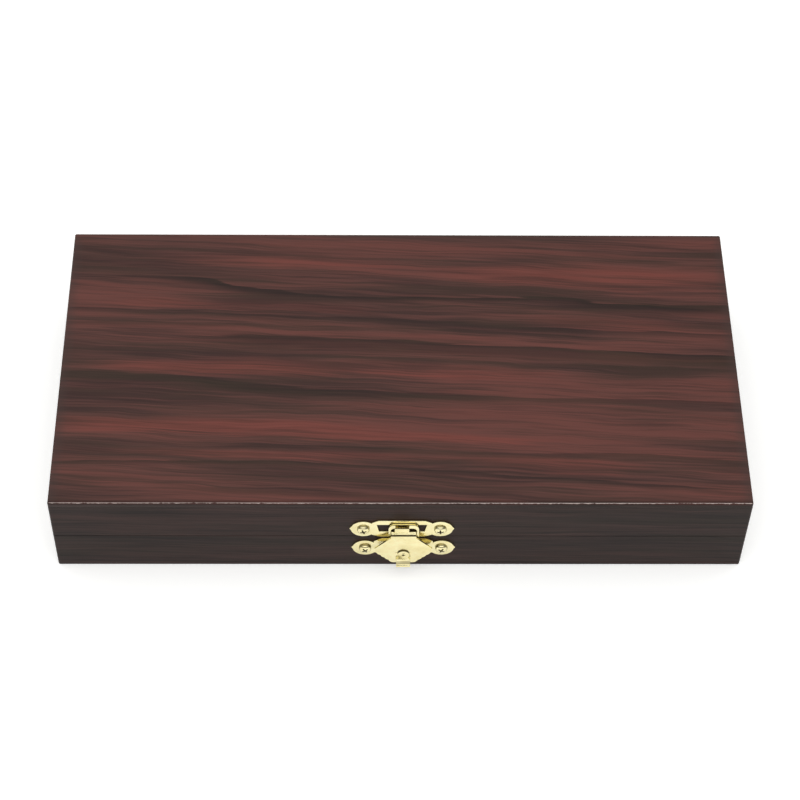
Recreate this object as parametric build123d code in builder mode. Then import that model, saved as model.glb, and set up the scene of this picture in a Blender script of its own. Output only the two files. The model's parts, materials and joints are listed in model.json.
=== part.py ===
"""Poker chip case: a foil-wrapped wooden box with a hinged lid and a brass toggle clasp.

Millimetres, +Z up. The origin is the middle of the wooden case's underside, the long side lies
along X and the clasp is on the front, at -Y. The case is shut and latched.
"""
import os
from math import asin, atan2, cos, hypot, radians, sin, sqrt

from build123d import *

# ---- case: outside sizes and boards ---------------------------------------------------------
case_length = 300.0
case_depth = 152.0
case_height = 47.3
wall = 6.0
panel = 3.0
edge_break = 0.5
parting_z = 22.8
rim_gap = 0.3

inner_length = case_length - 2 * wall
inner_depth = case_depth - 2 * wall
front = case_depth / 2
back = case_depth / 2
base_rim_z = parting_z - rim_gap / 2
lid_rim_z = parting_z + rim_gap / 2
lid_ceiling_z = case_height - panel

# ---- inside: chip racks, card tray and lining -----------------------------------------------
chip_diameter = 39.0
chip_thickness = 3.35
chips_in_a_row = 25
fit_gap = 0.4
insert_corner = 1.5
insert_top_z = base_rim_z - 0.45
channel_radius = chip_diameter / 2 + 0.8
channel_length = chips_in_a_row * chip_thickness + 0.25
channel_floor_z = panel + 1.0
channel_pitch = 44.0
rack_end_wall = 3.6
rack_width = channel_length + 2 * rack_end_wall
rack_depth = inner_depth - 2 * fit_gap
rack_x = inner_length / 2 - fit_gap - rack_width / 2

card_length = 88.9
card_width = 63.5
card_room = 2.5
tray_divider = 2.4
tray_width = inner_length - 2 * rack_width - 4 * fit_gap
well_length = card_length + card_room
well_depth = card_width + card_room
well_floor_z = panel + 1.4
well_corner = 2.5
finger_gap_radius = 12.0
lining_thickness = 0.8

# ---- hinges: out is measured from the back wall ---------------------------------------------
hinge_axis_z = 23.75
hinge_x = 90.0
hinge_length = 32.0
leaf_height = 10.0
leaf_thickness = 0.9
leaf_corner = 1.2
leaf_setback = 2.0
joggle = 0.25
knuckle_radius = 1.7
knuckle_gap = 0.25
lid_knuckle_length = 11.0
hinge_axis_out = knuckle_radius + joggle
hinge_pin_radius = 0.85
running_gap = 0.05
hinge_screw_spacing = 20.0
hinge_screw_shank = 1.0
hinge_screw_head = 1.8
hinge_screw_length = 4.6
hinge_recess_arm = 2.3
hinge_recess_width = 0.5
hinge_screw_turns = (12, 57, 33, 80)

# ---- clasp: out is measured from the front wall, x from the clasp's middle ------------------
clasp_x = 1.3
strike_shift = -0.8
plate_thickness = 0.8
plate_screw_x = 16.6
plate_tip_x = 22.6
plate_tip_drop = 0.4
lobe_radius = 5.4
strike_z = 29.2
strike_body = [(10.0, 35.3), (13.0, 33.7), (13.0, 24.9), (9.5, 23.5)]
catch_z = 14.8
catch_body = [(9.5, 22.2), (12.8, 19.8), (12.8, 11.3), (9.0, 9.6)]

screw_head_radius = 2.7
screw_head_height = 1.8
screw_shank_radius = 1.3
screw_length = 5.0
recess_arm = 3.4
recess_width = 0.8
recess_depth = 0.9

window_bottom = (9.8, 27.3)
window_top = (10.8, 32.4)
hook_sheet = 0.7
hook_bend = 0.9
hook_floor_z = 31.1
hook_front = 3.8
hook_half = 3.1
hook_tip_z = 33.6

pivot_out = 2.5
pivot_z = 28.8
pivot_pin_radius = 0.45
pivot_eye_radius = 0.9
lug_inner = 3.2
lug_outer = 3.9
lug_strip = [
    (0.4, 17.8), (0.8, 17.8), (2.2, 21.6), (2.5, 24.0), (2.5, 28.8),
    (1.6, 28.8), (1.3, 27.5), (1.3, 23.0), (0.4, 21.7),
]

lever_thickness = 0.7
lever_front = 3.6
lever_back = lever_front - lever_thickness
lever_top = (5.45, 27.7)
lever_corner = (5.5, 26.1)
middle_knuckle_half = 3.1
side_knuckle_inner = 4.0
side_knuckle_outer = 5.3
lever_web = [(3.0, 26.7), (3.0, 27.5), (2.75, 28.2), (1.9, 28.4), (2.1, 27.4)]
lever_shoulder = (12.5, 18.2)
lever_waist = (11.7, 15.2)
lever_foot = (4.6, 7.6)
lever_toe_z = 7.3
scallops = 4
scallop_bulge = 0.35

bail_pivot = (1.9, 26.0)
bail_bar = (1.65, 32.7)
bail_thickness = 0.9
bail_half_width = 6.55
bail_arm = 0.9
bail_bar_height = 2.2
bail_corner = 2.8
bail_heel = 0.6
bail_pin_radius = 0.45
bail_pin_inner = 4.65
bail_pin_outer = 6.0
ear_inner = 4.75
ear_outer = 5.4
ear_radius = 0.85

tab_thickness = 0.5
tab_eye_z = 14.2
tab_eye_radius = 2.55
tab_neck = (2.1, 11.6)
tab_flare = (3.1, 10.2)
tab_slope = [(3.6, 10.2), (4.1, 10.4), (5.4, 9.2), (4.2, 8.5)]
tab_lip = (5.2, 8.1)
tab_lip_radius = 1.15
rivet_radius = 0.6
rivet_bore = 0.35
rivet_bore_depth = 0.8
rivet_head_radius = 1.0
rivet_head_height = 0.35

os.makedirs("parts", exist_ok=True)


# ---- places and shared shapes ---------------------------------------------------------------
def save(part, node):
    """Label a finished piece and write it as the STEP file of the same name."""
    part.label = node
    export_step(part, f"parts/{node}.step")


def front_plane(x=0.0, z=0.0, out=0.0):
    """A plane facing away from the front wall, at a place on the clasp."""
    return Plane(origin=(clasp_x + x, -front - out, z), x_dir=(1, 0, 0), z_dir=(0, -1, 0))


def back_plane(x=0.0, z=0.0, out=0.0):
    """A plane facing away from the back wall."""
    return Plane(origin=(x, back + out, z), x_dir=(-1, 0, 0), z_dir=(0, 1, 0))


def clasp_section(x=0.0):
    """A cut across the clasp at x: its sketches read (out, z) and extrude towards -X."""
    return Plane(origin=(clasp_x + x, -front, 0), x_dir=(0, -1, 0), z_dir=(-1, 0, 0))


def both_sides(outer, inner):
    """Section places for a pair of pieces that reach from inner to outer on each side."""
    return (outer, -inner)


def hinge_screw_places(down):
    """Places of one row of hinge screws, as (x, z)."""
    z = hinge_axis_z + down * (leaf_setback + leaf_height / 2)
    return [(h * hinge_x + s * hinge_screw_spacing / 2, z) for h in (-1, 1) for s in (-1, 1)]


def dome(plane, radius, height):
    """A low dome standing on a plane."""
    sphere = (radius**2 + height**2) / (2 * height)
    half_angle = asin(radius / sphere) / 2
    centre = height - sphere
    crown = (sphere * sin(half_angle), centre + sphere * cos(half_angle))
    with BuildPart() as cap:
        with BuildSketch(Plane(origin=plane.origin, x_dir=plane.x_dir, z_dir=-plane.y_dir)):
            with BuildLine():
                Line((0, 0), (radius, 0))
                ThreePointArc((radius, 0), crown, (0, height))
                Line((0, height), (0, 0))
            make_face()
        revolve(axis=Axis(plane.origin, plane.z_dir))
    return cap.part


def cross(plane, turn, arm, width):
    """The outline of a screw's cross slot."""
    with BuildSketch(plane) as outline:
        Rectangle(arm, width, rotation=turn)
        Rectangle(arm, width, rotation=turn + 90)
    return outline.sketch


def rounds(plane, places, radius):
    """Circles of one size at several places on a plane."""
    with BuildSketch(plane) as outline:
        with Locations(*places):
            Circle(radius)
    return outline.sketch


# ---- boards ---------------------------------------------------------------------------------
def wall_outline(outer_half, face_distance):
    """Seen from above: a wall mitred at both ends, its outside face at +face_distance."""
    tip = outer_half - edge_break / 2
    inner_half = outer_half - wall
    right_end = [
        (outer_half - edge_break, face_distance),
        (tip, face_distance - edge_break / 2),
        (inner_half, face_distance - wall),
    ]
    return right_end + [(-x, y) for x, y in reversed(right_end)]


wall_turns = {"back": 0, "left": 90, "front": 180, "right": 270}
halves = {
    "base": (panel, base_rim_z, -1, 0.0, catch_z),
    "lid": (lid_rim_z, lid_ceiling_z, 1, strike_shift, strike_z),
}

for half, (low_z, high_z, hinge_side, shift, clasp_screw_z) in halves.items():
    for side, turn in wall_turns.items():
        outer_half, face_distance = case_length / 2, case_depth / 2
        if side in ("left", "right"):
            outer_half, face_distance = face_distance, outer_half
        floor = Plane(origin=(0, 0, low_z), x_dir=(cos(radians(turn)), sin(radians(turn)), 0))
        with BuildPart() as board:
            with BuildSketch(floor):
                with BuildLine():
                    Polyline(*wall_outline(outer_half, face_distance), close=True)
                make_face()
            extrude(amount=high_z - low_z)
            if side == "front":
                screws = [(-plate_screw_x, clasp_screw_z), (plate_screw_x, clasp_screw_z)]
                pilot_holes = rounds(front_plane(shift), screws, screw_shank_radius)
                extrude(pilot_holes, amount=-screw_length, mode=Mode.SUBTRACT)
            if side == "back":
                screws = hinge_screw_places(hinge_side)
                pilot_holes = rounds(back_plane(), [(-x, z) for x, z in screws], hinge_screw_shank)
                extrude(pilot_holes, amount=-hinge_screw_length, mode=Mode.SUBTRACT)
        save(board.part, f"{half}_{side}_wall")

for name, low_z, outer_face in (("base_bottom_panel", 0.0, 0), ("lid_top_panel", lid_ceiling_z, -1)):
    with BuildPart() as cover:
        with BuildSketch(Plane.XY.offset(low_z)):
            Rectangle(case_length, case_depth)
            chamfer(vertices(), edge_break)
        extrude(amount=panel)
        chamfer(faces().sort_by(Axis.Z)[outer_face].edges(), edge_break)
    save(cover.part, name)

# ---- inserts --------------------------------------------------------------------------------
with BuildPart() as lid_lining:
    with BuildSketch(Plane.XY.offset(lid_ceiling_z)):
        RectangleRounded(inner_length - 2 * fit_gap, inner_depth - 2 * fit_gap, insert_corner)
    extrude(amount=-lining_thickness)
save(lid_lining.part, "lid_lining")

for name, sign in (("left_chip_rack", -1), ("right_chip_rack", 1)):
    with BuildPart() as rack:
        with BuildSketch(Plane.XY.offset(panel)):
            with Locations((sign * rack_x, 0)):
                RectangleRounded(rack_width, rack_depth, insert_corner)
        extrude(amount=insert_top_z - panel)
        with BuildSketch(Plane.YZ.offset(sign * rack_x)):
            with Locations((0, channel_floor_z + channel_radius)):
                with GridLocations(channel_pitch, 0, 3, 1):
                    Circle(channel_radius)
        extrude(amount=channel_length / 2, both=True, mode=Mode.SUBTRACT)
    save(rack.part, name)

with BuildPart() as card_tray:
    with BuildSketch(Plane.XY.offset(panel)):
        RectangleRounded(tray_width, rack_depth, insert_corner)
    extrude(amount=insert_top_z - panel)
    with BuildSketch(Plane.XY.offset(insert_top_z)):
        with GridLocations(0, well_depth + tray_divider, 1, 2):
            RectangleRounded(well_length, well_depth, well_corner)
        Circle(finger_gap_radius)
    extrude(amount=well_floor_z - insert_top_z, mode=Mode.SUBTRACT)
save(card_tray.part, "card_tray")


# ---- hinges ---------------------------------------------------------------------------------
def knuckle_spans(half):
    """Stretches of the barrel, along the hinge, that belong to one leaf."""
    lid_end = lid_knuckle_length / 2
    if half == "lid":
        return [(-lid_end, lid_end)]
    base_start = lid_end + knuckle_gap
    return [(-hinge_length / 2, -base_start), (base_start, hinge_length / 2)]


def web_outline(down):
    """Seen along X as (y, z): the joggled strip that joins a leaf to its knuckles."""
    near_z = hinge_axis_z + down * leaf_setback
    inside = back + joggle
    return [
        (inside, hinge_axis_z),
        (inside, near_z + down * leaf_thickness),
        (back + leaf_thickness, near_z + down * leaf_thickness),
        (inside + leaf_thickness, near_z + down * joggle),
        (inside + leaf_thickness, hinge_axis_z),
    ]


barrel_centre = (back + hinge_axis_out, hinge_axis_z)

for side, sign in (("left", -1), ("right", 1)):
    middle = sign * hinge_x
    for half, down, pin_hole in (
        ("base", -1, hinge_pin_radius),
        ("lid", 1, hinge_pin_radius + running_gap),
    ):
        leaf_z = hinge_axis_z + down * (leaf_setback + leaf_height / 2)
        with BuildPart() as leaf:
            with BuildSketch(back_plane(middle, leaf_z)):
                RectangleRounded(hinge_length, leaf_height, leaf_corner)
            extrude(amount=leaf_thickness)
            for start, end in knuckle_spans(half):
                with BuildSketch(Plane.YZ.offset(middle + start)):
                    with Locations(barrel_centre):
                        Circle(knuckle_radius)
                    with BuildLine():
                        Polyline(*web_outline(down), close=True)
                    make_face()
                    with Locations(barrel_centre):
                        Circle(pin_hole, mode=Mode.SUBTRACT)
                extrude(amount=end - start)
            with Locations(back_plane(middle, leaf_z, leaf_thickness)):
                with GridLocations(hinge_screw_spacing, 0, 2, 1):
                    CounterSinkHole(hinge_screw_shank, hinge_screw_head, leaf_thickness, 90)
        save(leaf.part, f"{side}_hinge_{half}_leaf")

    with BuildPart() as hinge_pin:
        with BuildSketch(Plane.YZ.offset(middle)):
            with Locations(barrel_centre):
                Circle(hinge_pin_radius)
        extrude(amount=hinge_length / 2, both=True)
    save(hinge_pin.part, f"{side}_hinge_pin")

# ---- screws ---------------------------------------------------------------------------------
for half, hinge_side in (("base", -1), ("lid", 1)):
    with BuildPart() as hinge_screws:
        for (x, z), turn in zip(hinge_screw_places(hinge_side), hinge_screw_turns):
            top = back_plane(x, z, leaf_thickness)
            sunk = (Align.CENTER, Align.CENTER, Align.MAX)
            with Locations(top):
                Cylinder(hinge_screw_shank, leaf_thickness + hinge_screw_length, align=sunk)
                cone_height = hinge_screw_head - hinge_screw_shank
                Cone(hinge_screw_shank, hinge_screw_head, cone_height, align=sunk)
            slot = cross(top, turn, hinge_recess_arm, hinge_recess_width)
            extrude(slot, amount=-hinge_recess_width, mode=Mode.SUBTRACT)
    save(hinge_screws.part, f"{half}_hinge_screws")

for name, shift, z, turns in (
    ("strike_screws", strike_shift, strike_z, (20, 4)),
    ("catch_screws", 0.0, catch_z, (38, 62)),
):
    with BuildPart() as plate_screws:
        for side, turn in zip((-1, 1), turns):
            seat = front_plane(shift + side * plate_screw_x, z, plate_thickness)
            with BuildSketch(seat):
                Circle(screw_shank_radius)
            extrude(amount=-plate_thickness - screw_length)
            add(dome(seat, screw_head_radius, screw_head_height))
            slot = cross(seat.offset(screw_head_height), turn, recess_arm, recess_width)
            extrude(slot, amount=-recess_depth, mode=Mode.SUBTRACT)
    save(plate_screws.part, name)


# ---- clasp plates ---------------------------------------------------------------------------
def plate_outline(body, centre_z, shift=0.0):
    """A plate's face: a body, two round lobes and their pointed tips."""
    reach = lobe_radius * 0.72
    rise = sqrt(lobe_radius**2 - reach**2)
    with BuildSketch(front_plane(shift)) as outline:
        with BuildLine():
            Polyline(*body, *[(-x, z) for x, z in reversed(body)], close=True)
        make_face()
        for side in (-1, 1):
            with Locations((side * plate_screw_x, centre_z)):
                Circle(lobe_radius)
            with BuildLine():
                Polyline(
                    (side * plate_screw_x, centre_z),
                    (side * (plate_screw_x + reach), centre_z + rise),
                    (side * plate_tip_x, centre_z + plate_tip_drop),
                    (side * (plate_screw_x + reach), centre_z - rise),
                    close=True,
                )
            make_face()
        with Locations((-plate_screw_x, centre_z), (plate_screw_x, centre_z)):
            Circle(screw_shank_radius, mode=Mode.SUBTRACT)
    return outline.sketch


def hook_section():
    """The hook's bent sheet, as (out, z), from the plate round the bend up to its tip."""
    under_z = hook_floor_z - hook_sheet
    inside = hook_front - hook_sheet
    inner_bend = hook_bend - hook_sheet
    bend_cut = 1 - sqrt(0.5)
    with BuildSketch(clasp_section(strike_shift)) as outline:
        with BuildLine():
            Polyline(
                (inside - inner_bend, hook_floor_z),
                (0, hook_floor_z),
                (0, under_z),
                (hook_front - hook_bend, under_z),
            )
            ThreePointArc(
                (hook_front - hook_bend, under_z),
                (hook_front - hook_bend * bend_cut, under_z + hook_bend * bend_cut),
                (hook_front, under_z + hook_bend),
            )
            Polyline(
                (hook_front, under_z + hook_bend),
                (hook_front, hook_tip_z),
                (inside, hook_tip_z),
                (inside, hook_floor_z + inner_bend),
            )
            ThreePointArc(
                (inside, hook_floor_z + inner_bend),
                (inside - inner_bend * bend_cut, hook_floor_z + inner_bend * bend_cut),
                (inside - inner_bend, hook_floor_z),
            )
        make_face()
    return outline.sketch


with BuildPart() as strike_plate:
    extrude(plate_outline(strike_body, strike_z, strike_shift), amount=plate_thickness)
    with BuildSketch(front_plane(strike_shift)):
        with BuildLine():
            Polyline(
                window_bottom,
                window_top,
                (-window_top[0], window_top[1]),
                (-window_bottom[0], window_bottom[1]),
                close=True,
            )
        make_face()
        with Locations((0, (window_bottom[1] + hook_floor_z) / 2)):
            Rectangle(2 * hook_half, hook_floor_z - window_bottom[1], mode=Mode.SUBTRACT)
    extrude(amount=plate_thickness, mode=Mode.SUBTRACT)
    extrude(hook_section(), amount=hook_half, both=True)
save(strike_plate.part, "strike_plate")

with BuildPart() as catch_plate:
    extrude(plate_outline(catch_body, catch_z), amount=plate_thickness)
    for x in both_sides(lug_outer, lug_inner):
        with BuildSketch(clasp_section(x)):
            with BuildLine():
                Polyline(*lug_strip, close=True)
            make_face()
            with Locations((pivot_out, pivot_z)):
                Circle(pivot_eye_radius)
                Circle(pivot_pin_radius, mode=Mode.SUBTRACT)
        extrude(amount=lug_outer - lug_inner)
save(catch_plate.part, "catch_plate")

with BuildPart() as lever_pin:
    with BuildSketch(clasp_section()):
        with Locations((pivot_out, pivot_z)):
            Circle(pivot_pin_radius)
    extrude(amount=side_knuckle_outer, both=True)
save(lever_pin.part, "lever_pin")


# ---- lever, finger tab and bail -------------------------------------------------------------
def between(start, end, share):
    """The point that lies a share of the way from start to end."""
    return (start[0] + (end[0] - start[0]) * share, start[1] + (end[1] - start[1]) * share)


knuckle_reaches = [
    (middle_knuckle_half, -middle_knuckle_half),
    (side_knuckle_outer, side_knuckle_inner),
    (-side_knuckle_inner, -side_knuckle_outer),
]

with BuildPart() as lever:
    with BuildSketch(front_plane(out=lever_back)):
        with BuildLine():
            Polyline(
                (0, lever_top[1]),
                lever_top,
                (lever_top[0], lever_corner[1]),
                lever_corner,
                lever_shoulder,
                lever_waist,
            )
            run = hypot(lever_foot[0] - lever_waist[0], lever_foot[1] - lever_waist[1])
            bulge_x = (lever_waist[1] - lever_foot[1]) / run * scallop_bulge
            bulge_z = (lever_foot[0] - lever_waist[0]) / run * scallop_bulge
            for step in range(scallops):
                crest = between(lever_waist, lever_foot, (step + 0.5) / scallops)
                ThreePointArc(
                    between(lever_waist, lever_foot, step / scallops),
                    (crest[0] + bulge_x, crest[1] + bulge_z),
                    between(lever_waist, lever_foot, (step + 1) / scallops),
                )
            Line(lever_foot, (0, lever_toe_z))
            mirror(about=Plane.YZ)
        make_face()
        with Locations((0, tab_eye_z)):
            Circle(rivet_radius, mode=Mode.SUBTRACT)
    extrude(amount=lever_thickness)
    for start, end in knuckle_reaches:
        with BuildSketch(clasp_section(start)):
            with BuildLine():
                Polyline(*lever_web, close=True)
            make_face()
            with Locations((pivot_out, pivot_z)):
                Circle(pivot_eye_radius)
                Circle(pivot_pin_radius + running_gap, mode=Mode.SUBTRACT)
        extrude(amount=start - end)
    for x in both_sides(ear_outer, ear_inner):
        with BuildSketch(clasp_section(x)):
            with Locations(bail_pivot):
                Circle(ear_radius)
                Rectangle(lever_back - bail_pivot[0], 2 * ear_radius, align=(Align.MIN, Align.CENTER))
                Circle(bail_pin_radius + running_gap, mode=Mode.SUBTRACT)
        extrude(amount=ear_outer - ear_inner)
save(lever.part, "lever")

with BuildPart() as finger_tab:
    with BuildSketch(front_plane(out=lever_front)):
        with Locations((0, tab_eye_z)):
            Circle(tab_eye_radius)
        with BuildLine():
            Polyline((0, tab_eye_z), (tab_neck[0], tab_eye_z), tab_neck, tab_flare, (0, tab_flare[1]))
            mirror(about=Plane.YZ)
        make_face()
        with Locations((0, tab_eye_z)):
            Circle(rivet_radius, mode=Mode.SUBTRACT)
    extrude(amount=tab_thickness)
    with BuildSketch(clasp_section()):
        with BuildLine():
            Polyline(*tab_slope, close=True)
        make_face()
        with Locations(tab_lip):
            Circle(tab_lip_radius)
    extrude(amount=tab_flare[0], both=True)
save(finger_tab.part, "finger_tab")

with BuildPart() as tab_rivet:
    tab_front = lever_front + tab_thickness
    rivet_tail = lever_back - rivet_head_height
    with BuildSketch(front_plane(z=tab_eye_z, out=rivet_tail)):
        Circle(rivet_radius)
    extrude(amount=tab_front - rivet_tail)
    with BuildSketch(front_plane(z=tab_eye_z, out=rivet_tail)):
        Circle(rivet_head_radius)
    extrude(amount=rivet_head_height)
    add(dome(front_plane(z=tab_eye_z, out=tab_front), rivet_head_radius, rivet_head_height))
    with BuildSketch(front_plane(z=tab_eye_z, out=tab_front + rivet_head_height)):
        Circle(rivet_bore)
    extrude(amount=-rivet_bore_depth, mode=Mode.SUBTRACT)
save(tab_rivet.part, "tab_rivet")

bail_rise = hypot(bail_bar[0] - bail_pivot[0], bail_bar[1] - bail_pivot[1])
bail_lean = atan2(bail_pivot[0] - bail_bar[0], bail_bar[1] - bail_pivot[1])
bail_plane = Plane(
    origin=front_plane(z=bail_pivot[1], out=bail_pivot[0]).origin,
    x_dir=(1, 0, 0),
    z_dir=(0, -cos(bail_lean), sin(bail_lean)),
)
bail_window_half = bail_half_width - bail_arm

with BuildPart() as bail:
    with BuildSketch(bail_plane):
        RectangleRounded(2 * bail_half_width, 2 * bail_rise + bail_bar_height, bail_corner)
        RectangleRounded(
            2 * bail_window_half,
            2 * bail_rise - bail_bar_height,
            bail_corner - bail_arm,
            mode=Mode.SUBTRACT,
        )
        with Locations((0, -bail_heel)):
            Rectangle(
                3 * bail_half_width,
                2 * bail_rise,
                align=(Align.CENTER, Align.MAX),
                mode=Mode.SUBTRACT,
            )
    extrude(amount=bail_thickness / 2, both=True)
    for x in both_sides(bail_pin_outer, bail_pin_inner):
        with BuildSketch(clasp_section(x)):
            with Locations(bail_pivot):
                Circle(bail_pin_radius)
        extrude(amount=bail_pin_outer - bail_pin_inner)
save(bail.part, "bail")
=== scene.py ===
"""Looks of the poker chip case: foil-wrapped boards, flocked inserts, brass clasp and hinges.

Metres in the frame, millimetres in the sizes and finishes below. The case is shut and latched.
"""
import json
import math

import bmesh
import bpy
from mathutils import Matrix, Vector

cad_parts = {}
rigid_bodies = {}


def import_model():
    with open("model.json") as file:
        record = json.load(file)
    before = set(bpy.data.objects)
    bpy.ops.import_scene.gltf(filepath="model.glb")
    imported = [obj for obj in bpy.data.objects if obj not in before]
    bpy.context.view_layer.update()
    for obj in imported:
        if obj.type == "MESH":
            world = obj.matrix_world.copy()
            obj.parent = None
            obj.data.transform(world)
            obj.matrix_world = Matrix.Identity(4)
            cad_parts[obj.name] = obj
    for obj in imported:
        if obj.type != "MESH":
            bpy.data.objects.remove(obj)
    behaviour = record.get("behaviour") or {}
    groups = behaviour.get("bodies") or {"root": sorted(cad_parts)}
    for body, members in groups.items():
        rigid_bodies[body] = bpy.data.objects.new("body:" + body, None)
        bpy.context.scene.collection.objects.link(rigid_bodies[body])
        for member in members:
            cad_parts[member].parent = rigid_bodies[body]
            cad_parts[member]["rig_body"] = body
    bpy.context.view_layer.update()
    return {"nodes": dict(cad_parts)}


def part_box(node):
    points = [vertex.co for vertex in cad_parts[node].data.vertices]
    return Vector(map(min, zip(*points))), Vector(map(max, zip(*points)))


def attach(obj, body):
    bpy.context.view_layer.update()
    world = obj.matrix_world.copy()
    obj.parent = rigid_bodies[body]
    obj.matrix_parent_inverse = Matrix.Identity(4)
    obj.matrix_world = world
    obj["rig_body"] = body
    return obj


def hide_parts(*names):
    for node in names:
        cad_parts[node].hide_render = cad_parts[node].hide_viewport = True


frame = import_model()

MM = 0.001
NODES = frame["nodes"]


def corners(node):
    """Lowest and highest corner of a CAD node, in millimetres."""
    low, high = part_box(node)
    return [v / MM for v in low], [v / MM for v in high]


half_length, half_depth, case_height = corners("lid_top_panel")[1]
base_rim = corners("base_front_wall")[1][2]
lid_rim = corners("lid_front_wall")[0][2]
board = half_length + corners("base_left_wall")[1][0]


# ---- node trees -----------------------------------------------------------------------------
class Value:
    """A number that varies over a surface. Sums written with it become Math nodes."""

    def __init__(self, tree, socket):
        self.tree = tree
        self.socket = socket

    def worked(self, operation, *terms):
        return self.tree.node("ShaderNodeMath", {"operation": operation}, dict(enumerate(terms)))

    def __add__(self, other):
        return self.worked("ADD", self, other)

    def __radd__(self, other):
        return self.worked("ADD", other, self)

    def __sub__(self, other):
        return self.worked("SUBTRACT", self, other)

    def __rsub__(self, other):
        return self.worked("SUBTRACT", other, self)

    def __mul__(self, other):
        return self.worked("MULTIPLY", self, other)

    def __rmul__(self, other):
        return self.worked("MULTIPLY", other, self)

    def __truediv__(self, other):
        return self.worked("DIVIDE", self, other)

    def __rtruediv__(self, other):
        return self.worked("DIVIDE", other, self)

    def __pow__(self, other):
        return self.worked("POWER", self, other)

    def __gt__(self, other):
        return self.worked("GREATER_THAN", self, other)

    def __lt__(self, other):
        return self.worked("LESS_THAN", self, other)

    def __abs__(self):
        return self.worked("ABSOLUTE", self)

    def least(self, other):
        return self.worked("MINIMUM", self, other)

    def most(self, other):
        return self.worked("MAXIMUM", self, other)

    def rise(self, low, high):
        """0 below low, 1 above high and smooth between; high may be the lower of the two."""
        settings = {"interpolation_type": "SMOOTHSTEP"}
        sockets = {"Value": self, "From Min": low, "From Max": high}
        return self.tree.node("ShaderNodeMapRange", settings, sockets)


class Tree:
    """A node tree, and the one way that nodes are added to it."""

    def __init__(self, tree):
        self.tree = tree

    def node(self, kind, settings, sockets, output=0):
        made = self.tree.nodes.new(kind)
        for name, setting in settings.items():
            if name == "points":
                self.bend(made.mapping, setting)
            else:
                setattr(made, name, setting)
        for name, value in sockets.items():
            self.feed(made.inputs[name], value)
        return Value(self, made.outputs[output])

    def feed(self, socket, value):
        for each in value if isinstance(value, list) else [value]:
            if isinstance(each, Value):
                self.tree.links.new(each.socket, socket)
            else:
                socket.default_value = each

    @staticmethod
    def bend(mapping, points):
        """Gives a curve node its points."""
        curve = mapping.curves[0]
        for _ in points[2:]:
            curve.points.new(0.5, 0.5)
        for knot, place in zip(curve.points, points):
            knot.location = place
        mapping.update()


class Finish(Tree):
    """A surface finish. Constant values go straight onto the shader's own sockets."""

    def __init__(self, name, **constants):
        self.material = bpy.data.materials.new(name)
        self.material.use_nodes = True
        super().__init__(self.material.node_tree)
        self.tree.nodes.clear()
        self.shader = self.tree.nodes.new("ShaderNodeBsdfPrincipled")
        surface = self.tree.nodes.new("ShaderNodeOutputMaterial").inputs["Surface"]
        self.tree.links.new(self.shader.outputs["BSDF"], surface)
        self.coat(**constants)

    def coat(self, **sockets):
        """Sets shader sockets, named in lower case with underscores."""
        for name, value in sockets.items():
            label = name.replace("_", " ").title().replace("Ior", "IOR")
            self.feed(self.shader.inputs[label], value)

    def place(self):
        """Object coordinates in millimetres, as x, y and z."""
        here = self.node("ShaderNodeTexCoord", {}, {}, "Object")
        scaled = self.node("ShaderNodeVectorMath", {"operation": "SCALE"}, {0: here, "Scale": 1 / MM})
        return [self.node("ShaderNodeSeparateXYZ", {}, {0: scaled}, axis) for axis in "XYZ"]

    def grain(self, along, across, length, width, seed, detail=2.0, roughness=0.5):
        """Noise drawn out along the grain: length by width, in millimetres, is one lump's size."""
        stretched = self.node("ShaderNodeCombineXYZ", {}, {0: along / length, 1: across / width, 2: seed})
        sockets = {"Vector": stretched, "Scale": 1.0, "Detail": detail, "Roughness": roughness}
        return self.node("ShaderNodeTexNoise", {}, sockets)

    def mix(self, share, first, second):
        return self.node("ShaderNodeMix", {"data_type": "RGBA"}, {0: share, 6: first, 7: second}, 2)

    def shade(self, colour, amount):
        """A colour made darker or lighter by a number."""
        settings = {"data_type": "RGBA", "blend_type": "MULTIPLY"}
        return self.node("ShaderNodeMix", settings, {0: 1.0, 6: colour, 7: amount}, 2)

    def bump(self, height, depth, strength=1.0):
        """Relief of a height from 0 to 1, this deep in millimetres."""
        sockets = {"Height": height, "Distance": depth * MM, "Strength": strength}
        self.coat(normal=self.node("ShaderNodeBump", {}, sockets))


def paint(red, green, blue):
    """A display colour from 0 to 255 as the linear colour that shaders take."""
    channels = [c / 255 for c in (red, green, blue)]
    linear = [c / 12.92 if c <= 0.04045 else ((c + 0.055) / 1.055) ** 2.4 for c in channels]
    return (*linear, 1.0)


# ---- printed wood foil ----------------------------------------------------------------------
foil_brown = paint(89, 60, 55)
foil_red = paint(114, 64, 57)
foil_olive = paint(50, 43, 36)
foil_dark = paint(42, 35, 33)
foil_plum = paint(70, 48, 47)
# painted shade colour for the lid's ends and back
foil_shade_grey = paint(72, 58, 55)
worn_paper = paint(196, 180, 174)
lining_black = paint(24, 23, 24)

grain_slope = 0.055
edge_break = 0.5
turned_in_depth = 7.4

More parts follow.
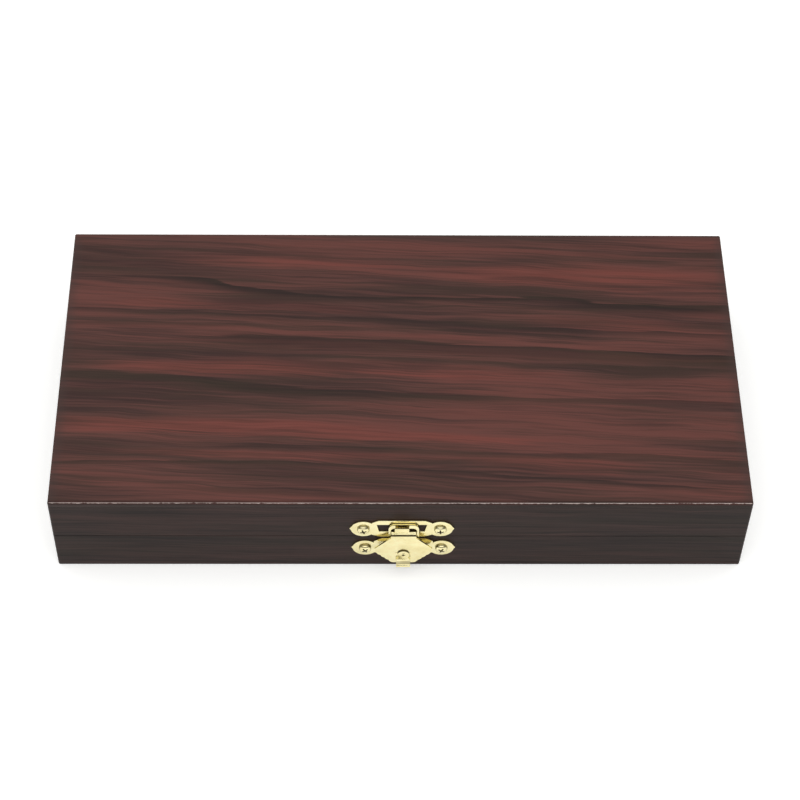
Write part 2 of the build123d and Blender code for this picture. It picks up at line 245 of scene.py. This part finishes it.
# Dark figure lines on the lid, from the back of the case to the front. Each has a line of (x, y)
# places, how soft its upper edge is, how far below it the print stays dark, how far below that it
# fades, where along x it begins and where it ends, and how dark it is.
lid_lines = {
    "long_back_line": (
        [(-150, 49), (-92, 49.4), (-74, 45), (-50, 41), (-25, 38.7), (30, 38.2), (76, 37.6), (90, 35.4),
         (150, 33)],
        0.5, 0.6, 3.6, (-158, -80), (170, 171), 0.8),
    "left_back_shadow": (
        [(-150, 48.4), (-92, 48.6), (-74, 44.4), (-50, 40), (150, 32)],
        2.0, 1.8, 4.0, (-118, -88), (-70, -42), 0.5),
    "right_back_shadow": (
        [(-150, 45), (60, 36.4), (88, 34.6), (150, 31.6)],
        2.6, 2.0, 4.6, (62, 88), (170, 171), 0.55),
    "upper_olive_line": (
        [(-150, 32), (-75, 28.6), (0, 25.2), (60, 20.6), (150, 17)],
        0.6, 0.7, 2.4, (-170, -169), (170, 171), 0.5),
    "second_olive_line": (
        [(-150, 24), (-60, 22), (0, 20.4), (60, 17), (150, 12)],
        0.7, 0.6, 2.2, (-170, -169), (60, 110), 0.35),
    "middle_band": (
        [(-150, 19), (-105, 16.8), (-50, 14.8), (0, 12.4), (50, 9.6), (100, 6.4), (150, 3.6)],
        0.9, 4.0, 4.2, (-112, -56), (170, 171), 0.62),
    "middle_band_edge": (
        [(-150, 18), (-105, 16.4), (-50, 14.6), (0, 12.6), (50, 9.4), (100, 6.3), (150, 3.4)],
        0.4, 0.5, 1.8, (-108, -80), (170, 171), 0.5),
    "middle_band_foot": (
        [(-150, 5), (-50, 5.6), (0, 3.0), (50, 1.0), (100, -1.6), (150, -4)],
        0.8, 0.7, 2.2, (-66, -30), (170, 171), 0.42),
    "lower_band": (
        [(-150, -4.8), (-100, -6.4), (-75, -10.6), (-50, -13), (-25, -15), (0, -15.8), (50, -18),
         (150, -20)],
        1.6, 2.4, 3.8, (-170, -169), (0, 70), 0.72),
    "lower_band_tail": (
        [(-150, -12), (0, -17.6), (50, -19), (100, -19.6), (150, -21.6)],
        0.8, 1.0, 3.4, (-30, 30), (170, 171), 0.5),
    "front_line": (
        [(-150, -42), (-75, -44), (0, -47), (50, -49), (100, -49.6), (150, -54)],
        0.8, 1.2, 3.2, (-110, -50), (170, 171), 0.52),
    "thin_front_line": (
        [(-150, -53.6), (-75, -53.8), (-25, -55), (25, -59.4), (60, -61.6), (100, -65), (150, -69)],
        0.4, 0.5, 2.2, (-170, -169), (120, 150), 0.62),
    "front_edge_streak": (
        [(-150, -64), (-100, -66), (-25, -70), (25, -73.6), (150, -80)],
        0.7, 1.4, 2.6, (-120, -70), (20, 60), 0.45),
}

# Warm zones on the lid: middle (x, y), half sizes along and across, and strength.
lid_warm_zones = {
    "left_middle": ((-72, -2.5), (60, 5.5), 0.9),
    "centre": ((0, -4), (70, 4.5), 0.55),
    "left_front": ((-82, -35), (80, 4.5), 0.85),
    "centre_front": ((-12, -40.5), (75, 3.2), 0.7),
    "right_front": ((68, -56), (40, 4.2), 0.75),
    "front": ((-60, -50.4), (90, 2.2), 0.5),
    "right_back": ((85, 50), (65, 8), 0.55),
    "right_upper": ((95, 22), (40, 4), 0.6),
    "left_upper": ((-70, 33), (60, 4), 0.45),
    "left_back": ((-60, 60), (60, 5), 0.35),
}


def figure_line(foil, x, y, line):
    """How dark one figure line prints at x, y."""
    knots, edge, body, fade, (begin, begun), (ending, end), depth = line
    points = [((px + 150) / 300, (py + 80) / 160) for px, py in knots]
    share = (x + 150) / 300
    height = foil.node("ShaderNodeFloatCurve", {"points": points}, {"Factor": 1.0, "Value": share})
    below = height * 160 - 80 - y
    print_depth = below.rise(-edge / 2, edge / 2) * below.rise(body + fade, body) * depth
    if begin > -160:
        print_depth = print_depth * x.rise(begin, begun)
    if end < 160:
        print_depth = print_depth * x.rise(end, ending)
    return print_depth


def warm_zone(x, y, zone):
    """How strongly one warm zone shows at x, y."""
    (middle_x, middle_y), (half_x, half_y), strength = zone
    off_x = (x - middle_x) / half_x
    off_y = (y - middle_y + (x - middle_x) * grain_slope * 0.6) / half_y
    return (off_x * off_x + off_y * off_y).rise(1.5, 0.1) * strength


def printed_foil():
    """Dark red-brown wood print on the boards, worn through along the lid's front edge, with painted shade
    on the walls and towards the lid's ends and back.
    """
    foil = Finish("printed_foil", specular_ior_level=0.1)
    x, y, z = foil.place()
    lid_face = z > case_height - edge_break - 0.05
    end_face = (abs(x) > half_length - 0.3) * (1 - lid_face)
    seed = (1 - lid_face) * (5.3 + 3.1 * (y > 0) + 7.7 * end_face * (1.4 + (x > 0)))
    along = x + (y - x) * end_face
    height = z + (y - z) * lid_face
    wander = foil.grain(along, height, 75, 17, seed, 2.0) - 0.5
    drift = foil.grain(along, height, 26, 5, seed + 2.7, 2.0) - 0.5
    across = height + along * grain_slope * (0.25 + 0.75 * lid_face) + wander * 7.0 + drift * 1.3

    broad = foil.grain(along, across, 170, 11, seed + 0.4, 1.5)
    medium = foil.grain(along, across, 90, 2.4, seed + 1.1, 2.5, 0.6)
    fine = foil.grain(along, across, 42, 0.9, seed + 1.9, 2.5, 0.65)
    hair = foil.grain(along, across, 13, 0.33, seed + 2.3, 1.5)

    ragged = drift * 2.2 + (fine - 0.5) * 1.6 + (medium - 0.5) * 2.6
    lines = None
    for line in lid_lines.values():
        mark = figure_line(foil, x, y + ragged, line)
        lines = mark if lines is None else 1 - (1 - lines) * (1 - mark)
    warmth = None
    for zone in lid_warm_zones.values():
        glow = warm_zone(x, y + ragged * 1.8, zone)
        warmth = glow if warmth is None else warmth.most(glow)

    red_streaks = medium.rise(0.42, 0.62) * 0.22 + broad.rise(0.42, 0.66) * 0.48
    red_share = (warmth * 0.68 + red_streaks * (0.4 + warmth * 0.6)) * lid_face + red_streaks * 0.3
    grain_dark = (broad * 0.34 + medium * 0.3 + fine * 0.36).rise(0.59, 0.4) * 0.56
    dark_share = 1 - (1 - grain_dark) * (1 - lines * lid_face * (0.86 + (medium - 0.3) * 0.6))
    dark_share = (dark_share * (1 - warmth * lid_face * 0.3)).least(1.0)

    body = foil.mix(red_share.least(1.0), foil_brown, foil_red)
    body = foil.mix(broad.rise(0.52, 0.34) * 0.4, body, foil_plum)
    # Painted shade: the walls take a darker copy of the lid's print, and their shade factor is lowered
    # again below.
    shaded_wall_body = foil.mix(0.78, body, foil_dark)
    body = foil.mix(1 - lid_face, body, shaded_wall_body)
    ink = foil.mix(foil.grain(along, across, 60, 6, seed + 4.4).rise(0.4, 0.62), foil_olive, foil_dark)
    printed = foil.mix(dark_share, body, ink)
    wall_grain_and_shade = (medium * 0.7 + fine * 0.9 - 0.8) * (1 - lid_face) - (1 - lid_face) * 0.3
    printed = foil.shade(printed, 0.7 + fine * 0.32 + hair * 0.16 + broad * 0.18 + wall_grain_and_shade)

    # Painted shade: the lid's print greys towards its ends and back.
    end_painted_shade = abs(x).rise(half_length - 6, half_length) * 0.5
    back_painted_shade = y.rise(half_depth - 6, half_depth) * 0.4
    printed = foil.mix(end_painted_shade.most(back_painted_shade) * lid_face, printed, foil_shade_grey)

    up_the_edge = (z - case_height + edge_break) * (1 / edge_break)
    on_the_edge = (z - case_height - y - half_depth > -edge_break - 0.06) * (y < 0)
    chips = foil.grain(x, y, 2.3, 40, 9.1, 3.0, 0.7) + foil.grain(x, y, 45, 40, 4.4) * 0.5
    wear = on_the_edge * (up_the_edge + (chips - 0.75) * 1.7).rise(0.45, 0.75) * 0.8
    # Darker in a narrow band just behind the lid's front edge.
    front_edge_darkening = (y + half_depth).rise(2.4, 0.9) * lid_face
    printed = foil.shade(printed, 1 - front_edge_darkening * 0.4)
    printed = foil.mix(wear, printed, worn_paper)

    inside = (abs(x) < half_length - board + 0.2) * (abs(y) < half_depth - board + 0.2)
    turned_in = (z - lid_rim).rise(turned_in_depth, turned_in_depth + 0.4) + (base_rim - z).rise(2.0, 2.2)
    lined = inside * turned_in.least(1.0) * (z < case_height - 1) * (z > 0.5)
    printed = foil.mix(lined, printed, lining_black)

    pores = foil.grain(along, across, 3.2, 0.28, seed + 6.2, 1.0)
    foil.coat(base_color=printed, roughness=0.36 + fine * 0.1 + lined * 0.4 + wear * 0.35)
    foil.bump(medium * 0.5 + pores * 0.35 + fine * 0.5 - wear * 0.8, 0.035)
    return foil.material


# ---- brass, flock and felt ------------------------------------------------------------------
brass_pale = paint(240, 231, 184)
brass_deep = paint(228, 216, 162)
brass_shadow = paint(58, 42, 22)


lever_low, lever_high = corners("lever")
rivet_low, rivet_high = corners("tab_rivet")
tab_low = corners("finger_tab")[0]
clasp_x = (rivet_low[0] + rivet_high[0]) / 2
rivet_z = (rivet_low[2] + rivet_high[2]) / 2


def clasp_painted_shade(x, y, z):
    """Painted shade in the lever's groove, a painted shadow over the tab's eye, and painted shade in its
    rivet hole, in the tab's bend and under its lip.
    """
    aside, above = x - clasp_x, z - rivet_z
    from_groove = abs(z - lever_high[2] + 1.82)
    groove = from_groove.rise(0.36, 0.18) * (abs(aside) < 5.7) * (lever_low[1] + 1.4 - y > 0)
    from_rivet = (aside * aside + above * above) ** 0.5
    eye = from_rivet.rise(3.0, 2.75) * (from_rivet > 2.5) * above.rise(0.2, 1.2)
    hole = from_rivet.rise(0.7, 0.5)
    on_tab = (abs(aside) < 3.3) * (tab_low[1] + 2.4 > y)
    up_the_tab = z - tab_low[2]
    lip = up_the_tab.rise(0.85, 0.6) * on_tab
    bend = up_the_tab.rise(1.9, 2.3) * up_the_tab.rise(4.0, 2.6) * on_tab
    return groove.most(eye * 0.9).most(hole * 0.9).most(lip * 0.9).most(bend * 0.6)


def brass(name, pale, deep, painted_shade=None):
    """Bright plated brass: faint clouding, fine polishing lines, and painted shade in screw slots, on the
    lower rims of screw heads and wherever a painted-shade mask is given.
    """
    plate = Finish(name, metallic=1.0)
    x, y, z = plate.place()
    mottle = plate.grain(x, z, 1.7, 1.5, y * 0.4, 3.0, 0.6)
    cloud = plate.grain(x, z, 6.0, 5.0, y * 0.2 + 3.0, 2.0)
    rub = plate.grain(x, z, 7.0, 0.12, y + 8.0, 2.0)
    # The attribute read here carries painted shade in screw slots and a painted reflection on the lower
    # rims of screw heads.
    slot_wall = plate.node("ShaderNodeAttribute", {"attribute_name": "slot_wall"}, {}, "Fac")
    metal = plate.mix((cloud * 0.7 + mottle * 0.3).rise(0.3, 0.7), pale, deep)
    dark = slot_wall.most(painted_shade(x, y, z)) if painted_shade else slot_wall
    plate.coat(base_color=plate.mix(dark * 0.88, metal, brass_shadow))
    plate.coat(roughness=0.12 + mottle * 0.08 + rub * 0.05 + dark * 0.3)
    plate.bump(mottle * 0.7 + rub * 0.2, 0.008)
    return plate.material


def flock():
    """Black flock: short upright fibres that catch light at a low angle."""
    pile = Finish("flock", sheen_weight=0.5, sheen_roughness=0.45, specular_ior_level=0.1)
    pile.coat(sheen_tint=paint(150, 148, 152))
    x, y, z = pile.place()
    fibre = pile.grain(x + z * 0.7, y + z * 0.4, 0.35, 0.35, z * 2.2, 2.0, 0.7)
    nap = pile.grain(x, y, 14, 9, z * 0.1 + 2.0, 3.0, 0.6)
    shade = (nap.rise(0.35, 0.7) * 0.6 + fibre * 0.4).least(1.0)
    pile.coat(base_color=pile.mix(shade, paint(17, 16, 17), paint(38, 37, 39)))
    pile.coat(roughness=0.86 + fibre * 0.12)
    pile.bump(fibre, 0.12)
    return pile.material


def felt():
    """Black pressed felt with tangled fibres."""
    cloth = Finish("felt", sheen_weight=0.35, sheen_roughness=0.5, specular_ior_level=0.1)
    x, y, z = cloth.place()
    tangle = cloth.grain(x, y, 1.3, 0.5, 1.7, 4.0, 0.7)
    cross_tangle = cloth.grain(x + y * 0.5, y - x * 0.5, 0.4, 1.4, 5.1, 4.0, 0.7)
    blotch = cloth.grain(x, y, 17, 15, 0.3, 3.0)
    fibres = tangle * 0.5 + cross_tangle * 0.5
    share = (fibres * 0.7 + blotch * 0.4).rise(0.35, 0.75)
    cloth.coat(base_color=cloth.mix(share, paint(18, 17, 19), paint(44, 42, 45)))
    cloth.coat(roughness=0.92 + fibres * 0.05)
    cloth.bump(fibres, 0.1)
    return cloth.material


foil_finish = printed_foil()
clasp_finish = brass("clasp_brass", brass_pale, brass_deep, clasp_painted_shade)
hinge_finish = brass("hinge_brass", brass_pale, brass_deep)
flock_finish = flock()
felt_finish = felt()


# ---- pieces ---------------------------------------------------------------------------------
def dress(node, finish):
    """A CAD node keeps its shape and gets a finish."""
    slots = NODES[node].data.materials
    slots.clear()
    slots.append(finish)


def show(piece, body, slot, *stands_for):
    """A finished piece rides on its body and stands for its CAD nodes."""
    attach(piece, body)
    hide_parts(*stands_for)


def eased_copy(node, width, finish, slot, segments=3):
    """A CAD node's shape with its sharp edges rounded, as tumbling, pressing or flock leaves them."""
    source = NODES[node]
    shape = bmesh.new()
    shape.from_mesh(source.data)
    bmesh.ops.remove_doubles(shape, verts=shape.verts, dist=0.002 * MM)
    bmesh.ops.dissolve_degenerate(shape, edges=shape.edges, dist=0.002 * MM)
    bmesh.ops.dissolve_limit(shape, angle_limit=math.radians(0.5), verts=shape.verts, edges=shape.edges)
    mesh = bpy.data.meshes.new(f"{node}_eased")
    for face in shape.faces:
        face.smooth = True
    shape.to_mesh(mesh)
    shape.free()
    mesh.materials.append(finish)
    piece = bpy.data.objects.new(f"{node}_eased", mesh)
    bpy.context.scene.collection.objects.link(piece)
    easing = piece.modifiers.new("easing", "BEVEL")
    easing.width = width * MM
    easing.segments = segments
    easing.limit_method = "ANGLE"
    easing.angle_limit = math.radians(32)
    easing.harden_normals = True
    easing.use_clamp_overlap = True
    show(piece, source["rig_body"], slot, node)
    return piece


boards = [f"{half}_{side}_wall" for half in ("base", "lid") for side in ("front", "back", "left", "right")]
for node in boards:
    dress(node, foil_finish)
for node in ("base_bottom_panel", "lid_top_panel"):
    eased_copy(node, 0.14, foil_finish, "printed_foil")

for node in ("left_chip_rack", "right_chip_rack", "card_tray"):
    eased_copy(node, 0.7, flock_finish, "flock", 4)

lining = eased_copy("lid_lining", 0.25, felt_finish, "felt")
lining_low, lining_high = corners("lid_lining")
lining_size = [(high - low) * MM for low, high in zip(lining_low[:2], lining_high[:2])]

for node, width in (
    ("strike_plate", 0.16),
    ("catch_plate", 0.16),
    ("lever", 0.2),
    ("finger_tab", 0.14),
    ("bail", 0.22),
    ("tab_rivet", 0.06),
    ("lever_pin", 0.1),
):
    eased_copy(node, width, clasp_finish, "clasp_brass")

for side in ("left", "right"):
    for part in ("base_leaf", "lid_leaf", "pin"):
        eased_copy(f"{side}_hinge_{part}", 0.12, hinge_finish, "hinge_brass")


# ---- screws ---------------------------------------------------------------------------------
def screw_tree():
    """Cross-slot screws, one at each point, turned by the point's own slot_turn."""
    tree = bpy.data.node_groups.new("cross_slot_screws", "GeometryNodeTree")
    tree.interface.new_socket("Seats", in_out="INPUT", socket_type="NodeSocketGeometry")
    for name in (
        "Head Radius", "Crown Height", "Cone Depth", "Slot Reach", "Slot Width", "Slot Depth",
        "Shank Radius", "Shank Length",
    ):
        tree.interface.new_socket(name, in_out="INPUT", socket_type="NodeSocketFloat")
    tree.interface.new_socket("Facing", in_out="INPUT", socket_type="NodeSocketVector")
    tree.interface.new_socket("Finish", in_out="INPUT", socket_type="NodeSocketMaterial")
    tree.interface.new_socket("Screws", in_out="OUTPUT", socket_type="NodeSocketGeometry")
    made = Tree(tree)
    given = tree.nodes.new("NodeGroupInput")
    size = {socket.name: Value(made, socket) for socket in given.outputs if socket.name}

    ball = made.node("GeometryNodeMeshUVSphere", {}, {"Segments": 40, "Rings": 20, "Radius": 1.0}, "Mesh")
    spot = made.node("GeometryNodeInputPosition", {}, {})
    across, deep, up = [made.node("ShaderNodeSeparateXYZ", {}, {0: spot}, axis) for axis in "XYZ"]
    level = up.most(0) ** 0.7 * size["Crown Height"] + up.least(0) * size["Cone Depth"]
    spread = {0: across * size["Head Radius"], 1: deep * size["Head Radius"], 2: level}
    moved = made.node("ShaderNodeCombineXYZ", {}, spread)
    head = made.node("GeometryNodeSetPosition", {}, {"Geometry": ball, "Position": moved})

    blade_sockets = {
        "Vertices": 4, "Radius Top": size["Slot Reach"] * 0.72, "Radius Bottom": size["Slot Reach"] * 0.5,
        "Depth": size["Slot Depth"] * 2}
    blade = made.node("GeometryNodeMeshCone", {}, blade_sockets, "Mesh")
    narrowing = {0: 1.0, 1: size["Slot Width"] / size["Slot Reach"], 2: 1.0}
    thin = made.node("ShaderNodeCombineXYZ", {}, narrowing)
    base = made.node("ShaderNodeCombineXYZ", {}, {2: size["Crown Height"] - size["Slot Depth"]})
    squared = made.node(
        "GeometryNodeTransform", {}, {"Geometry": blade, "Rotation": (0, 0, math.radians(45))})
    blades = []
    for turn in (0, 90):
        narrow = made.node("GeometryNodeTransform", {}, {"Geometry": squared, "Scale": thin})
        sockets = {"Geometry": narrow, "Translation": base, "Rotation": (0, 0, math.radians(turn))}
        blades.append(made.node("GeometryNodeTransform", {}, sockets))
    joining = {"operation": "UNION", "solver": "EXACT"}
    cutter = made.node("GeometryNodeMeshBoolean", joining, {"Mesh 2": blades}, "Mesh")
    # Painted shade: slot walls are stored fully dark, and the lower sides of each head partly dark as a
    # painted reflection of the foil around it.
    marked = {"data_type": "FLOAT", "domain": "FACE"}
    cutter = made.node(
        "GeometryNodeStoreNamedAttribute", marked, {"Geometry": cutter, "Name": "slot_wall", "Value": 1.0})
    rim = (up / (size["Crown Height"] + 1e-6)).rise(0.6, 0.35) * 0.65
    head = made.node(
        "GeometryNodeStoreNamedAttribute", marked, {"Geometry": head, "Name": "slot_wall", "Value": rim})
    carving = {"operation": "DIFFERENCE", "solver": "EXACT"}
    cut = made.node("GeometryNodeMeshBoolean", carving, {"Mesh 1": head, "Mesh 2": [cutter]}, "Mesh")

    shank_sockets = {
        "Vertices": 16, "Radius Top": size["Shank Radius"], "Radius Bottom": size["Shank Radius"] * 0.3,
        "Depth": size["Shank Length"]}
    shank = made.node("GeometryNodeMeshCone", {}, shank_sockets, "Mesh")
    sunk = made.node("ShaderNodeCombineXYZ", {}, {2: 0 - size["Shank Length"] - size["Cone Depth"] * 0.6})
    shank = made.node("GeometryNodeTransform", {}, {"Geometry": shank, "Translation": sunk})
    screw = made.node("GeometryNodeJoinGeometry", {}, {"Geometry": [cut, shank]})

    turn = made.node("GeometryNodeInputNamedAttribute", {"data_type": "FLOAT"}, {"Name": "slot_turn"})
    sockets = {"Points": size["Seats"], "Instance": screw, "Rotation": size["Facing"]}
    placed = made.node("GeometryNodeInstanceOnPoints", {}, sockets)
    spin = made.node("ShaderNodeCombineXYZ", {}, {2: turn})
    turning = {"Instances": placed, "Rotation": spin, "Local Space": True}
    placed = made.node("GeometryNodeRotateInstances", {}, turning)
    solid = made.node("GeometryNodeRealizeInstances", {}, {"Geometry": placed})
    done = made.node("GeometryNodeSetMaterial", {}, {"Geometry": solid, "Material": size["Finish"]})
    tree.links.new(done.socket, tree.nodes.new("NodeGroupOutput").inputs[0])
    return tree


def screws(node, seats, turns, facing, finish, slot, **sizes):
    """Screws at seats, (x, y, z) in millimetres, with their slots turned by degrees."""
    points = bpy.data.meshes.new(f"{node}_seats")
    points.from_pydata([[v * MM for v in seat] for seat in seats], [], [])
    points.attributes.new("slot_turn", "FLOAT", "POINT").data.foreach_set(
        "value", [math.radians(turn) for turn in turns])
    seated = bpy.data.objects.new(f"{node}_seats", points)
    bpy.context.scene.collection.objects.link(seated)
    driven = seated.modifiers.new("screws", "NODES")
    driven.node_group = screw_nodes
    inputs = {name.replace("_", " ").title(): size * MM for name, size in sizes.items()}
    inputs.update({"Facing": (math.radians(facing), 0.0, 0.0), "Finish": finish})
    for item in screw_nodes.interface.items_tree:
        if item.in_out == "INPUT" and item.name in inputs:
            driven[item.identifier] = inputs[item.name]
    worked_out = bpy.context.evaluated_depsgraph_get()
    mesh = bpy.data.meshes.new_from_object(seated.evaluated_get(worked_out))
    bpy.data.objects.remove(seated)
    mesh.polygons.foreach_set("use_smooth", [True] * len(mesh.polygons))
    mesh.set_sharp_from_angle(angle=math.radians(32))
    piece = bpy.data.objects.new(f"{node}_driven", mesh)
    bpy.context.scene.collection.objects.link(piece)
    show(piece, NODES[node]["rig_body"], slot, node)


screw_nodes = screw_tree()

for node, turns in (("strike_screws", (20, 4)), ("catch_screws", (38, 62))):
    (low_x, low_y, low_z), (high_x, high_y, high_z) = corners(node)
    head, crown = 2.7, 1.76
    seats = [(x, low_y + crown, (low_z + high_z) / 2) for x in (low_x + head, high_x - head)]
    screws(
        node, seats, turns, 90, clasp_finish, "clasp_brass", head_radius=head, crown_height=crown,
        slot_reach=3.5, slot_width=0.85, slot_depth=0.95, shank_radius=1.3, shank_length=5.4)

for node, turns in (("base_hinge_screws", (12, 57, 33, 80)), ("lid_hinge_screws", (71, 26, 8, 49))):
    (low_x, low_y, low_z), (high_x, high_y, high_z) = corners(node)
    head, spacing = 1.79, 20.0
    row = [low_x + head, low_x + head + spacing, high_x - head - spacing, high_x - head]
    seats = [(x, high_y - 0.02, (low_z + high_z) / 2) for x in row]
    screws(
        node, seats, turns, -90, hinge_finish, "hinge_brass", head_radius=head, crown_height=0.02,
        cone_depth=0.8, slot_reach=2.3, slot_width=0.5, slot_depth=0.5, shank_radius=1.0, shank_length=4.0)


# ---- floor, light and camera ----------------------------------------------------------------
def pale_floor():
    """A plain pale floor that reaches past every view."""
    white = Finish("floor", roughness=0.9, specular_ior_level=0.1)
    x, y, z = white.place()
    tone = white.grain(x, y, 600, 600, 0.5).rise(0.2, 0.8)
    white.coat(base_color=white.mix(tone, (0.93, 0.93, 0.92, 1), (0.94, 0.94, 0.93, 1)))
    white.coat(emission_color=(1.0, 1.0, 0.99, 1.0), emission_strength=0.36)
    reach = 14.0
    ground = bpy.data.meshes.new("floor")
    rim = [(-reach, -reach, 0), (reach, -reach, 0), (reach, reach, 0), (-reach, reach, 0)]
    ground.from_pydata(rim, [], [(0, 1, 2, 3)])
    ground.materials.append(white.material)
    floor = bpy.data.objects.new("floor", ground)
    bpy.context.scene.collection.objects.link(floor)


def lamp(name, kind, place, turn, energy, **settings):
    """A light at a place, turned by degrees about X, Y and Z."""
    data = bpy.data.lights.new(name, kind)
    data.energy = energy
    for setting, value in settings.items():
        setattr(data, setting, value)
    holder = bpy.data.objects.new(name, data)
    holder.location = place
    holder.rotation_euler = [math.radians(t) for t in turn]
    bpy.context.scene.collection.objects.link(holder)


def studio():
    """Soft light from a bright ceiling, low at the horizon, and a long softbox in front."""
    room = bpy.data.worlds.new("studio")
    room.use_nodes = True
    air = Tree(room.node_tree)
    ray = air.node("ShaderNodeTexCoord", {}, {}, "Generated")
    up = air.node("ShaderNodeSeparateXYZ", {}, {0: ray}, "Z")
    glow = room.node_tree.nodes["Background"].inputs
    glow["Color"].default_value = (1.0, 1.0, 0.995, 1.0)
    air.feed(glow["Strength"], 0.1 + up.rise(0.1, 0.75) * 0.5)
    bpy.context.scene.world = room
    lamp("overhead", "SUN", (0, 0, 2), (8, -6, 0), 1.3, angle=math.radians(110))
    lamp("front_softbox", "AREA", (0, -2.4, 1.9), (52, 0, 0), 10, shape="RECTANGLE", size=3.2, size_y=0.7)


def camera():
    """Above and in front of the case, level, and a touch left of its middle."""
    right = (0.9998601, -0.0088124, 0.0142193)
    up = (-0.0015770, 0.7965584, 0.6045596)
    forward = (0.0166541, 0.6044974, -0.7964330)
    place = (-0.01650, -0.61709, 0.83301)
    data = bpy.data.cameras.new("camera")
    data.lens = 101.11
    data.sensor_width = 36.0
    data.clip_start, data.clip_end = 0.05, 60.0
    eye = bpy.data.objects.new("camera", data)
    rows = [(right[i], up[i], -forward[i], place[i]) for i in range(3)]
    eye.matrix_world = Matrix([*rows, (0, 0, 0, 1)])
    bpy.context.scene.collection.objects.link(eye)
    bpy.context.scene.camera = eye


pale_floor()
studio()
camera()
bpy.context.scene.view_settings.view_transform = "Standard"
